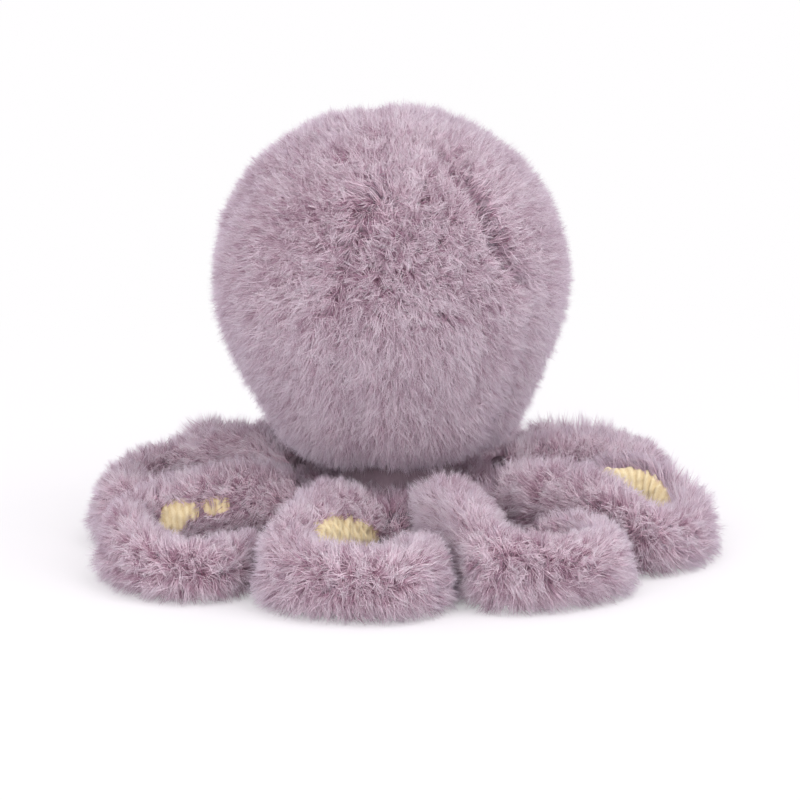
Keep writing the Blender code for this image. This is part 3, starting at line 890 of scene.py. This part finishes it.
def cord_edges(arm, travelled):
    """The angles of the upper and lower edges of the bare cord, at shares of the way along an arm."""
    shares, *edges = np.transpose(CORD_SHOWS[arm.name])
    edges.append(np.full(len(shares), CORD_FOOT))
    return [np.radians(np.interp(travelled, shares, edge))[:, None] for edge in edges[:2]]


# The arm's pile is shorter inside the curl and at the tip, and longer along the lower outer corner
INNER_SHORTER, TIP_SHORTER, CORNER_LONGER = 0.26, 0.3, 0.45
# Where arms press together it turns up and back
CROWDED_UP, CROWDED_BACK = 0.4, 0.45


def arm_patch(arm, first, last):
    """The pile on a stretch of an arm, from the lower edge of its bare cord round to the upper edge."""
    travelled = np.linspace(first, last, 60)
    round_share = np.linspace(0, 1, 48)
    upper, lower = cord_edges(arm, travelled)
    angles = lower + (upper + TURN - lower) * round_share
    places, facing, along = arm_section(arm, travelled, angles, ARM_GROUND)
    c, s = np.cos(angles), np.sin(angles)
    inward = smooth_step((-c + 0.1) / 0.8)
    below = smooth_step((-s - 0.45) / 0.5)
    corner = smooth_step((-s - 0.1) / 0.35) * smooth_step(c / 0.3)
    extra = np.interp(travelled, *np.transpose(LOFT.get(arm.name, ((0, 1.0),))))[:, None] - 1
    loft = 1 + extra * smooth_step(s + 0.3) * (1 - inward)
    slim = smooth_step((travelled - 0.86) / 0.14)[:, None]
    length = ARM_STRAND * loft * (1 - INNER_SHORTER * inward) * (1 + CORNER_LONGER * corner)
    length = length * (1 - TIP_SHORTER * slim)
    density = (1 - 0.2 * below) * np.ones(length.shape)
    for angle, side in ((arm.bounds[1], 1), (arm.bounds[0], -1)):
        aside = side * np.array((-math.sin(angle), math.cos(angle), 0.0))
        gap = -(places @ aside)
        crowded = (1 - smooth_step(gap / (ARM_PILE + ARM_STRAND))) * np.maximum(facing @ aside, 0)
        facing = facing + crowded[..., None] * (CROWDED_UP * UP - CROWDED_BACK * aside)
    facing = unit(facing)
    lay = 0.12 * along + 0.9 * slim[..., None] * along
    lay = lay + (0.3 * inward * np.where((c < -0.2) & (s > 0), -0.5, 0.6))[..., None] * UP
    lay = lay + 0.55 * inward[..., None] * along
    # beside the bare cord the pile leans off it
    bare = np.clip((lower - upper) / 0.5, 0, 1)
    beside = bare * (smooth_step((round_share - 0.88) / 0.12) - smooth_step((0.08 - round_share) / 0.08))
    lay = lay + 0.7 * beside[..., None] * unit(np.gradient(places, axis=1)) * -1
    lay = lay + (0.5 * below * (1 - inward) + 0.5 * corner)[..., None] * facing * (1, 1, 0)
    outer = smooth_step((c - 0.2) / 0.6) * (1 - below)
    lay = lay - 0.3 * outer[..., None] * UP
    return Patch(places, facing, lay, length, density, PILE_TONE + 0 * length)


# The share of the way along an arm where its root piece ends and its curl piece starts
ROOT_SHARE = 0.42


def make_arm(arm, fur, backing, cord):
    """One arm: its ground, its pile in two stretches, and the ribbed cord inside its curl."""
    travelled = np.concatenate([[-0.09, -0.045], np.linspace(0, 1, 64)])
    places = arm_section(arm, travelled, even_turns(36), ARM_GROUND)[0]
    core = add_piece(f"{arm.name}_core", tube_mesh(arm.settle_ground(places)), backing)
    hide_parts(f"{arm.name}_stuffing")
    arm.joined(core)

    stretches = (("root", -0.05, ROOT_SHARE), ("curl", ROOT_SHARE, 1.0))
    for number, (part, first, last) in enumerate(stretches):
        root, middle, tip, shade = strands_on(arm_patch(arm, first, last), arm.seed + number)
        mesh = fur_mesh(
            arm.settle_ground(root),
            arm.settle(middle, 0.5 * MM, 0.8 * MM, 3 * MM),
            arm.settle(tip, -4.5 * MM, 0.5 * MM, 6 * MM),
            shade,
        )
        piece = add_piece(f"{arm.name}_{part}_pile", mesh, fur)
        if part == "root":
            arm.joined(piece)
            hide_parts(f"{arm.name}_fur")
        else:
            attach(piece, arm.name)
    make_cord_strip(arm, cord)


RIB_PITCH = 1.9 * MM
RIB_HEIGHT = 0.36 * MM
LUMP_HEIGHT = 0.3 * MM
POINTS_PER_RIB = 8
# How deep the cord lies under the pile, how far it rises from there where it is bare, and its back's depth
CORD_SUNK, CORD_PROUD, CORD_BACK = 1.2 * MM, 1.9 * MM, 1.8 * MM
CORD_UNDER_PILE = math.radians(6)


def make_cord_strip(arm, cord):
    """The arm's underside: cord whose ribs run across it."""
    shares = np.linspace(0, STRIP_END_SHARE, 200)
    place, outward, _, half_width, _ = arm.stations(shares)
    inner_line = place - outward * (half_width - ARM_GROUND)[:, None]
    steps = np.linalg.norm(np.diff(inner_line, axis=0), axis=1)
    ribs = round(steps.sum() / RIB_PITCH)
    even = np.linspace(0, 1, ribs * POINTS_PER_RIB + 1)
    travelled = np.interp(even, np.concatenate([[0], np.cumsum(steps)]) / steps.sum(), shares)
    upper, lower = cord_edges(arm, travelled)
    upper = upper - CORD_UNDER_PILE
    angles = upper + (lower + CORD_UNDER_PILE - upper) * np.linspace(0, 1, 15)
    crest = np.abs(np.cos(even * ribs * TURN / 2)) ** 0.8
    ground, facing, _ = arm_section(arm, travelled, angles, ARM_GROUND)
    bare = smooth_step((lower - upper - 2 * CORD_UNDER_PILE) / 0.3)[..., None]
    lumps = LUMP_HEIGHT * lump_sway.at(ground)[..., :1]
    rise = -CORD_SUNK + (CORD_PROUD + RIB_HEIGHT * crest[:, None, None] + lumps) * bare
    face, back = (arm.settle(ground + facing * r, 2 * MM, 1 * MM) for r in (rise, -CORD_BACK))
    weave = stacked((even * ribs)[:, None], np.linspace(0, 1, angles.shape[1]))
    piece = add_piece(f"{arm.name}_cord", slab_mesh(face, back, weave), cord)
    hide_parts(f"{arm.name}_underside")
    arm.joined(piece)


# Body


def make_body(fur, cord, cloth):
    """The low body: its stuffed core, the pile of its shoulders, the cord underside and the pouch."""
    def edge(turns):
        """The reach of the body's eight sides at some angles, against their middles'."""
        return 1 / np.cos((turns - TURN / 4 - ARM_TURN + SECTOR / 2) % SECTOR - SECTOR / 2)

    angles = even_turns(64)
    ground = BODY_HEIGHT - 4 * MM
    profile = (
        (0.2 * BODY_REACH, UNDERSIDE_THICKNESS + CLEARANCE),
        (0.9 * BODY_REACH, UNDERSIDE_THICKNESS + CLEARANCE),
        (0.93 * BODY_REACH, 0.4 * MM),
        (0.985 * BODY_REACH, 0.4 * MM),
        (0.995 * BODY_REACH, 3 * MM),
        (0.98 * BODY_REACH, ground - 3 * MM),
        (0.9 * BODY_REACH, ground),
        (0.2 * BODY_REACH, ground + 1 * MM),
    )
    rings = np.array([level_ring(angles, r * edge(angles), z) for r, z in profile])
    # painted shade: the body's core is a darker backing, for the shadow under the head
    deep = blotched("painted_shade_backing", 900.0, (96, 78, 89), (120, 100, 112), roughness=0.95)
    core = add_piece("body_core", tube_mesh(rings), deep)
    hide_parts("body_stuffing")
    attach(core, "body")

    turns = np.linspace(0, TURN, 97)
    slope = np.array([(0.36, 0), (0.6, 0), (0.9, 0), (0.98, -3 * MM), (0.99, -15.5 * MM)])
    steps = np.linspace(0, 1, 30)
    reach, drop = (np.interp(steps, np.linspace(0, 1, len(slope)), column) for column in slope.T)
    reach = BODY_REACH * reach[:, None] * edge(turns)[None]
    places = level_ring(turns, reach, ground + drop[:, None])
    tipped = smooth_step(-drop / (4 * MM))[:, None, None]
    facing = unit(UP * (1 - 0.7 * tipped) + (0.3 + tipped) * level_ring(turns, 1, 0))
    even = np.ones(reach.shape)
    # painted shade: the shoulders' pile takes a darker tone for the shadow under the head
    patch = Patch(places, facing, 0 * places, BODY_STRAND * even, BODY_TUFTS * even, BODY_PAINTED_SHADE_TONE * even)
    root, middle, tip, shade = strands_on(patch, 900, ruffle=0.6)
    for points in (root, middle, tip):
        points[..., 2] = -ease_under(-points[..., 2], 0, 0.6 * MM)
    shoulders = add_piece("shoulder_pile", fur_mesh(root, middle, tip, shade), fur)
    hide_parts("body_cover")
    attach(shoulders, "body")

    make_underside(cord)
    make_pouch(cloth)


def make_underside(cord):
    """The flat cord panel that the toy sits on, its ribs side by side."""
    ribs = round(2 * CORE_REACH / RIB_PITCH)
    x = np.linspace(-CORE_REACH, CORE_REACH, ribs * POINTS_PER_RIB + 1)
    half = np.minimum(CORE_REACH, CORE_REACH * math.sqrt(2) - np.abs(x))
    share = np.linspace(-1, 1, 25)
    crest = (0.5 - 0.5 * np.cos((x + CORE_REACH) / (2 * CORE_REACH) * ribs * TURN)) ** 0.7
    c, s = math.cos(ARM_TURN), math.sin(ARM_TURN)
    flat_x, flat_y = x[:, None], half[:, None] * share
    sides = (flat_x * c - flat_y * s, flat_x * s + flat_y * c)
    face = stacked(*sides, 0.1 * MM + RIB_HEIGHT * (1 - crest)[:, None])
    back = stacked(*sides, UNDERSIDE_THICKNESS)
    weave = stacked((flat_x + CORE_REACH) / (2 * CORE_REACH) * ribs + 0.5, flat_y / CORE_REACH)
    piece = add_piece("underside_cord", slab_mesh(back, face, weave), cord)
    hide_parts("body_underside")
    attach(piece, "body")


def make_pouch(cloth):
    """A round cotton pouch, dimpled by its pellets and pinched at its seam."""
    angles = even_turns(72)
    lean = np.linspace(0.06, math.pi - 0.06, 24)[::-1, None]
    out = POUCH_RADIUS * 0.9 * np.sin(lean) ** 0.5 + 1.5 * MM * hump(lean - math.pi / 2, 0.08)
    dimple = 0.35 * MM * np.sin(angles * 21 + 3 * lean) * np.sin(lean * 13)
    level = POUCH_HEIGHT / 2 * (1 + 0.82 * np.cos(lean)) + dimple
    rings = level_ring(angles, out, level) + (0, 0, UNDERSIDE_THICKNESS + CLEARANCE)
    piece = add_piece("pouch_cotton", tube_mesh(rings), cloth)
    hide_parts("pellet_pouch")
    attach(piece, "body")


# Floor, light and camera

VIEW_TURN = math.radians(18)
VIEW_RISE = math.radians(12.5)
VIEW_DISTANCE = 1400 * MM
VIEW_HEIGHT = 43 * MM
VIEW_ASIDE = 0.3 * MM
LENS_MM = 220.5
SENSOR_MM = 36.0


def seen_only(nodes, for_camera, otherwise):
    """One value for what the camera, mirrors and glass show, and one for the light itself."""
    camera = nodes.node("ShaderNodeLightPath", {}, {}, "Is Camera Ray")
    shows = camera
    for ray in ("Is Glossy Ray", "Is Transmission Ray"):
        shows = shows.maths("MAXIMUM", shows, camera.sibling(ray))
    return shows * for_camera + (1 - shows) * otherwise


FLOOR_REACH = 6.0
# How much of the floor that the camera sees glows white: a share near the toy, and all of it far off
FLOOR_GLOW_SHARE = 0.4
FLOOR_NEAR = 0.1
FLOOR_FAR = 0.36
WORLD_STRENGTH = 0.97


def make_stage():
    """A pale floor that runs out of view."""
    corners = np.array([(-1, -1, 0), (1, -1, 0), (1, 1, 0), (-1, 1, 0)]) * FLOOR_REACH
    floor = add_object("floor", mesh_from(corners, [np.array([(0, 1, 2, 3)])]))
    finish = Finish("floor", roughness=0.95)
    finish.paint("Specular IOR Level", 0.1)
    finish.paint("Base Color", srgb(240, 236, 241))
    glow = finish.node("ShaderNodeEmission", {}, {"Color": srgb(255, 254, 255), "Strength": 1.0})
    place = finish.node("ShaderNodeNewGeometry", {}, {}, "Position")
    reach = finish.node("ShaderNodeVectorMath", {"operation": "LENGTH"}, {0: place}, "Value")
    settings = {"interpolation_type": "SMOOTHSTEP"}
    ends = {"Value": reach, "From Min": FLOOR_NEAR, "From Max": FLOOR_FAR, "To Min": FLOOR_GLOW_SHARE}
    share = seen_only(finish, finish.node("ShaderNodeMapRange", settings, ends), 0.0)
    lit = Value(finish, finish.shader.outputs[0])
    mixed = finish.node("ShaderNodeMixShader", {}, {0: share, 1: lit, 2: glow})
    finish.feed(finish.tree.nodes["Material Output"].inputs["Surface"], mixed)
    floor.data.materials.append(finish.material)


def make_world():
    """Even pale light from all round, and a white background."""
    world = bpy.data.worlds.new("studio")
    bpy.context.scene.world = world
    world.use_nodes = True
    nodes = Nodes(world.node_tree)
    background = nodes.tree.nodes["Background"]
    nodes.feed(background.inputs["Color"], (1, 1, 1, 1))
    nodes.feed(background.inputs["Strength"], seen_only(nodes, 1.0, WORLD_STRENGTH))


LAMP_SIZE = 0.9
LAMP_AIM = (0, 0, 0.05)


def add_lamp(name, place, power):
    """A square soft lamp aimed at the toy."""
    lamp = bpy.data.lights.new(name, "AREA")
    lamp.size = LAMP_SIZE
    lamp.energy = power
    stand = add_object(name, lamp)
    stand.location = place
    aim = Vector(LAMP_AIM) - Vector(place)
    stand.rotation_euler = aim.to_track_quat("-Z", "Y").to_euler()


def toward_camera(right, toward, up):
    """A place given from the camera's side: to its right, towards it, and up."""
    c, s = math.cos(VIEW_TURN), math.sin(VIEW_TURN)
    return (-c * right - s * toward, -s * right + c * toward, up)


def make_camera():
    """The photograph's view: the toy's back, seen from a little above."""
    camera = bpy.data.cameras.new("camera")
    camera.lens = LENS_MM
    camera.sensor_width = SENSOR_MM
    camera.clip_start = 0.1
    camera.clip_end = 50
    stand = add_object("camera", camera)
    target = Vector(toward_camera(VIEW_ASIDE, 0, VIEW_HEIGHT))
    level = VIEW_DISTANCE * math.cos(VIEW_RISE)
    back = Vector(toward_camera(0, level, VIEW_DISTANCE * math.sin(VIEW_RISE)))
    stand.location = target + back
    stand.rotation_euler = (-back).to_track_quat("-Z", "Y").to_euler()
    bpy.context.scene.camera = stand


def make_octopus():
    """Every piece of the toy."""
    fur, cord = fur_finish(), cord_finish()
    backing = blotched("fur_backing", 900.0, (140, 118, 130), (168, 144, 156), roughness=0.95)
    gloss = {"roughness": 0.08, "coat_weight": 0.6, "coat_roughness": 0.03}
    eye = blotched("eye_black", 300.0, (10, 9, 11), (20, 18, 22), **gloss)
    washer = blotched("washer_white", 400.0, (222, 220, 214), (238, 237, 232), roughness=0.45)
    cloth = blotched("pouch_cloth", 3000.0, (205, 200, 188), (232, 228, 218), roughness=0.9)
    make_head(fur, backing)
    make_neck(backing)
    make_eyes(eye)
    for index in range(ARM_COUNT):
        make_arm(Arm(index), fur, backing, cord)
    make_body(fur, cord, cloth)
    for side in ("right", "left"):
        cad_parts[f"eye_washer_{side}"].material_slots[0].material = washer


bpy.context.scene.view_settings.view_transform = "Standard"
make_camera()
make_stage()
make_world()
add_lamp("key", toward_camera(0.55, 0.35, 0.95), 4.3)
add_lamp("fill", toward_camera(-0.3, 1.0, 0.42), 4.4)
make_octopus()
